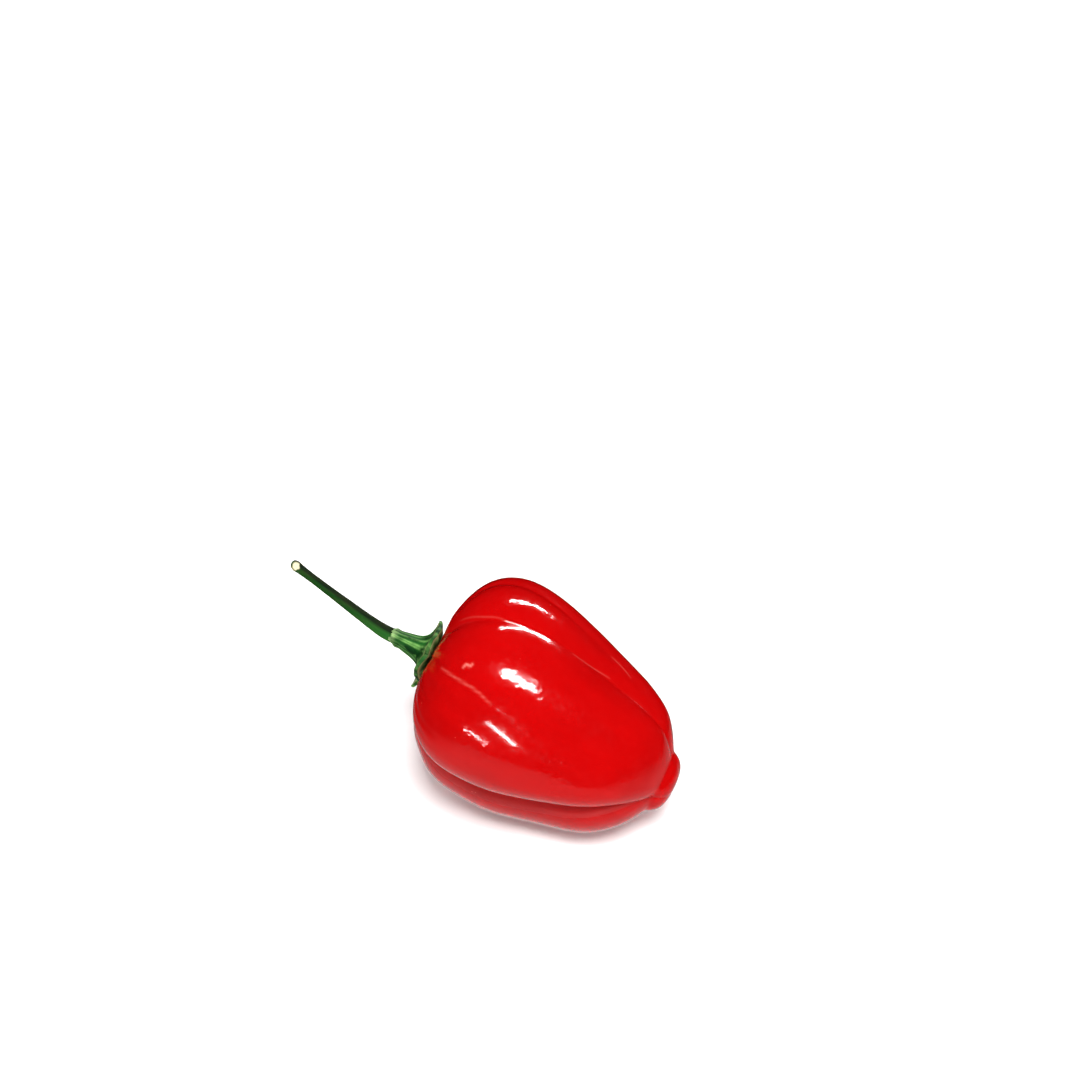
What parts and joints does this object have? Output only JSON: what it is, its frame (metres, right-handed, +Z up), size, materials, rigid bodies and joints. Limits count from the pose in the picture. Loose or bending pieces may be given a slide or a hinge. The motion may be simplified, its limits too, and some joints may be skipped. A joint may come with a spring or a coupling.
{
  "type": "chilli pepper",
  "caption": "Glossy red lobed chilli pepper with a nubbed tip, lying on its side with its toothed green calyx and cut stem; fresh produce for food scenes.",
  "frame": {"origin": "on the surface it lies on, under the middle of its box", "axes": "+X from the stem to the tip of the pod, +Y to its far side, +Z up"},
  "size_m": [0.0692, 0.0366, 0.0373],
  "materials": {
    "pod_skin": "smooth waxy skin, very glossy",
    "calyx_green": "fresh leafy green, satin, with pale ribs and rim",
    "stem_green": "dark green stalk, satin, pale where it is cut"
  },
  "bodies": {
    "root": {"pod": "pod_skin", "calyx": "calyx_green", "stem": "stem_green"}
  },
  "joints": []
}
